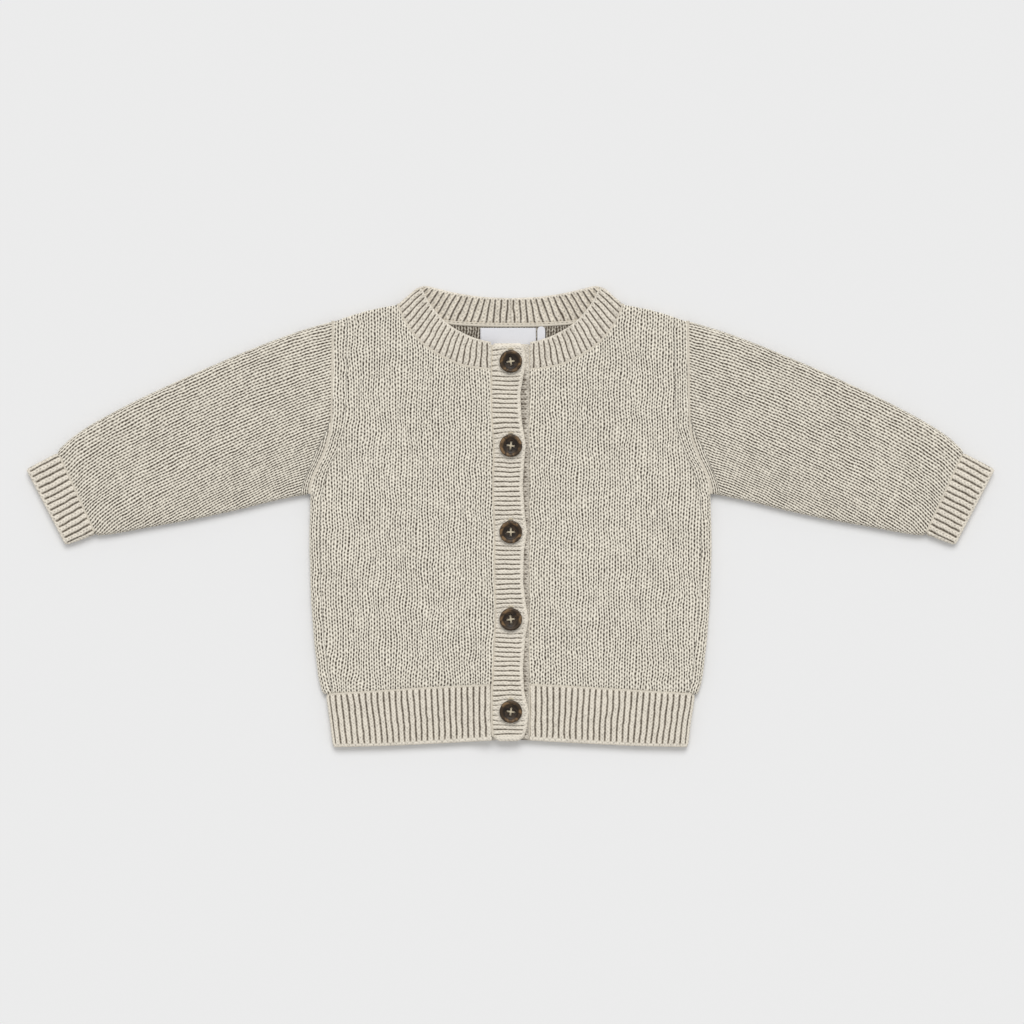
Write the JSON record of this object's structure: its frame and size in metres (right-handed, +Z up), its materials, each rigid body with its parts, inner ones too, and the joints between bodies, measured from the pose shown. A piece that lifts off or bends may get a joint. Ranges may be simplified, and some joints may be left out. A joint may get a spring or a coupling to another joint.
{
  "type": "baby cardigan",
  "caption": "Knitted baby cardigan laid flat and buttoned, with long sleeves and a ribbed neckband, cuffs, hem and front bands.",
  "frame": {"origin": "middle of the garment's outline on the surface it lies on", "axes": "+X towards the wearer's left, along the outstretched sleeves; +Y from the hem to the neck; +Z up from the surface, through the back to the front"},
  "size_m": [0.6388, 0.305, 0.0122],
  "materials": {
    "body_knit": "plain-knit cotton yarn, matte, oatmeal cream with darker holes",
    "rib_knit": "ribbed cotton yarn, matte, oatmeal cream",
    "button": "mottled dark brown horn look, satin",
    "white_tape": "smooth white woven tape, left bare"
  },
  "bodies": {
    "root": {"back": "body_knit", "front_right": "body_knit", "front_left": "body_knit", "sleeve_right": "body_knit", "sleeve_left": "body_knit", "cuff_right": "rib_knit", "cuff_left": "rib_knit", "neckband": "rib_knit", "hem_back": "rib_knit", "hem_front_right": "rib_knit", "hem_front_left": "rib_knit", "buttonhole_band": "rib_knit", "button_band": "rib_knit", "button_1": "button", "button_2": "button", "button_3": "button", "button_4": "button", "button_5": "button", "neck_label": "white_tape", "size_tab": "white_tape"}
  },
  "joints": []
}
